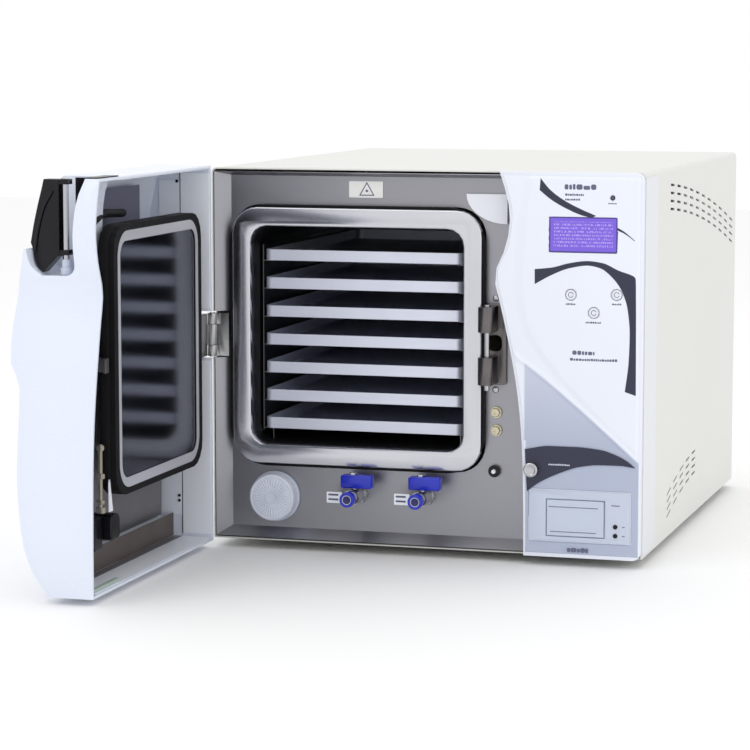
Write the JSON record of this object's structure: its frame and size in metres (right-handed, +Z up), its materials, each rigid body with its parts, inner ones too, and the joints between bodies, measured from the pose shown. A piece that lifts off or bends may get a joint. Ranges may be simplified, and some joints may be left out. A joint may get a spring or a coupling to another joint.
{
  "type": "benchtop autoclave",
  "caption": "Boxy steam steriliser with a square chamber full of trays, a side-hinged bulged door standing open, two drain valves and a curved control console.",
  "frame": {"origin": "middle of the base pan's underside, midway across the width and depth of the cabinet", "axes": "+X to the machine's right seen from in front, -Y out of the front, +Z up"},
  "size_m": [0.561, 0.9165, 0.412],
  "materials": {
    "cover_paint": "satin powder coat",
    "base_paint": "satin powder coat",
    "brushed_fascia": "brushed along the width",
    "console_plastic": "satin white with a faint lavender cast",
    "display_glass": "backlit violet window",
    "button_plastic": "satin",
    "lamp_lens": "gloss",
    "knob_chrome": "polished",
    "printer_plastic": "satin",
    "paper": "matt paper",
    "black_plastic": "satin",
    "circuit_board": "matt",
    "chamber_steel": "dull inside",
    "polished_ring": "polished",
    "insulation": "matt wool",
    "rack_steel": "bright",
    "tray_metal": "satin",
    "striker_steel": "satin",
    "pin_steel": "ground",
    "brass": "bright",
    "white_plastic": "gloss",
    "filter_plastic": "matt",
    "valve_chrome": "polished",
    "blue_plastic": "gloss",
    "hinge_steel": "satin",
    "door_plastic": "satin white with a faint lavender cast",
    "frame_sheet": "satin",
    "plate_steel": "polished centre, satin rim",
    "black_rubber": "matt silicone",
    "foot_rubber": "matt",
    "pump_iron": "painted",
    "tank_plastic": "matt"
  },
  "bodies": {
    "cabinet": {"base_pan": "base_paint", "outer_cover": "cover_paint", "rear_panel": "cover_paint", "front_fascia": "brushed_fascia", "console_housing": "console_plastic", "display_screen": "display_glass", "status_lamp": "lamp_lens", "printer_body": "printer_plastic", "paper_roll": "paper", "control_board": "circuit_board", "chamber_vessel": "chamber_steel", "chamber_ring": "polished_ring", "insulation_jacket": "insulation", "striker_block": "striker_steel", "striker_pin": "pin_steel", "port_upper": "brass", "port_lower": "brass", "sensor_bush": "black_plastic", "air_filter": "filter_plastic", "valve_body_left": "valve_chrome", "valve_body_right": "valve_chrome", "hose_collar_left": "blue_plastic", "hose_collar_right": "blue_plastic", "handle_recess_cap": "white_plastic", "hinge_bracket": "hinge_steel", "hinge_pin": "pin_steel", "foot_1": "foot_rubber", "foot_2": "foot_rubber", "foot_3": "foot_rubber", "foot_4": "foot_rubber", "steam_generator": "rack_steel", "vacuum_pump": "pump_iron", "water_tank": "tank_plastic", "power_inlet": "black_plastic"},
    "rack": {"tray_rack": "rack_steel"},
    "tray_1": {"tray_1": "tray_metal"},
    "tray_2": {"tray_2": "tray_metal"},
    "tray_3": {"tray_3": "tray_metal"},
    "tray_4": {"tray_4": "tray_metal"},
    "tray_5": {"tray_5": "tray_metal"},
    "tray_6": {"tray_6": "tray_metal"},
    "tray_7": {"tray_7": "tray_metal"},
    "door": {"door_shell": "door_plastic", "door_frame": "frame_sheet", "pressure_plate": "plate_steel", "door_gasket": "black_rubber", "hinge_arm": "hinge_steel"},
    "handle": {"handle_lever": "black_plastic", "handle_shaft": "pin_steel", "latch_hook": "hinge_steel"},
    "left_button": {"button_left": "button_plastic"},
    "right_button": {"button_right": "button_plastic"},
    "centre_button": {"button_centre": "button_plastic"},
    "feed_button": {"printer_button_feed": "black_plastic"},
    "open_button": {"printer_button_open": "black_plastic"},
    "paper_door": {"printer_door": "printer_plastic"},
    "knob": {"power_knob": "knob_chrome"},
    "left_lever": {"valve_lever_left": "blue_plastic"},
    "right_lever": {"valve_lever_right": "blue_plastic"},
    "door_switch": {"sensor_plunger": "white_plastic"}
  },
  "joints": [
    {"name": "door_hinge", "type": "hinge", "parent": "cabinet", "child": "door", "pos_m": [-0.235, -0.286, 0.221], "axis": [0, 0, -1], "range_deg": [-90, 15]},
    {"name": "handle_turn", "type": "hinge", "parent": "door", "child": "handle", "pos_m": [-0.2748, -0.5895, 0.28], "axis": [0, 0, 1], "range_deg": [-15, 10]},
    {"name": "rack_slide", "type": "slide", "parent": "cabinet", "child": "rack", "axis": [0, -1, 0], "range_m": [0, 0.2]},
    {"name": "tray_1_slide", "type": "slide", "parent": "rack", "child": "tray_1", "axis": [0, -1, 0], "range_m": [0, 0.28]},
    {"name": "tray_2_slide", "type": "slide", "parent": "rack", "child": "tray_2", "axis": [0, -1, 0], "range_m": [0, 0.28]},
    {"name": "tray_3_slide", "type": "slide", "parent": "rack", "child": "tray_3", "axis": [0, -1, 0], "range_m": [0, 0.28]},
    {"name": "tray_4_slide", "type": "slide", "parent": "rack", "child": "tray_4", "axis": [0, -1, 0], "range_m": [0, 0.28]},
    {"name": "tray_5_slide", "type": "slide", "parent": "rack", "child": "tray_5", "axis": [0, -1, 0], "range_m": [0, 0.28]},
    {"name": "tray_6_slide", "type": "slide", "parent": "rack", "child": "tray_6", "axis": [0, -1, 0], "range_m": [0, 0.28]},
    {"name": "tray_7_slide", "type": "slide", "parent": "rack", "child": "tray_7", "axis": [0, -1, 0], "range_m": [0, 0.28]},
    {"name": "left_button_press", "type": "slide", "parent": "cabinet", "child": "left_button", "axis": [0, 1, 0], "range_m": [0, 0.001], "stiffness_N_per_m": 400},
    {"name": "right_button_press", "type": "slide", "parent": "cabinet", "child": "right_button", "axis": [0, 1, 0], "range_m": [0, 0.001], "stiffness_N_per_m": 400},
    {"name": "centre_button_press", "type": "slide", "parent": "cabinet", "child": "centre_button", "axis": [0, 1, 0], "range_m": [0, 0.001], "stiffness_N_per_m": 400},
    {"name": "feed_button_press", "type": "slide", "parent": "cabinet", "child": "feed_button", "axis": [0, 1, 0], "range_m": [0, 0.0008], "stiffness_N_per_m": 400},
    {"name": "open_button_press", "type": "slide", "parent": "cabinet", "child": "open_button", "axis": [0, 1, 0], "range_m": [0, 0.0008], "stiffness_N_per_m": 400},
    {"name": "door_switch_press", "type": "slide", "parent": "cabinet", "child": "door_switch", "axis": [0, 1, 0], "range_m": [0, 0.003], "stiffness_N_per_m": 300},
    {"name": "paper_door_hinge", "type": "hinge", "parent": "cabinet", "child": "paper_door", "pos_m": [0.167, -0.297, 0.0233], "axis": [1, 0, 0], "range_deg": [0, 95]},
    {"name": "knob_turn", "type": "hinge", "parent": "cabinet", "child": "knob", "pos_m": [0.1205, -0.295, 0.0917], "axis": [0, 1, 0], "range_deg": [0, 90]},
    {"name": "left_lever_turn", "type": "hinge", "parent": "cabinet", "child": "left_lever", "pos_m": [-0.073, -0.297, 0.054], "axis": [0, 0, -1], "range_deg": [0, 90]},
    {"name": "right_lever_turn", "type": "hinge", "parent": "cabinet", "child": "right_lever", "pos_m": [0.0015, -0.297, 0.0552], "axis": [0, 0, -1], "range_deg": [0, 90]}
  ]
}
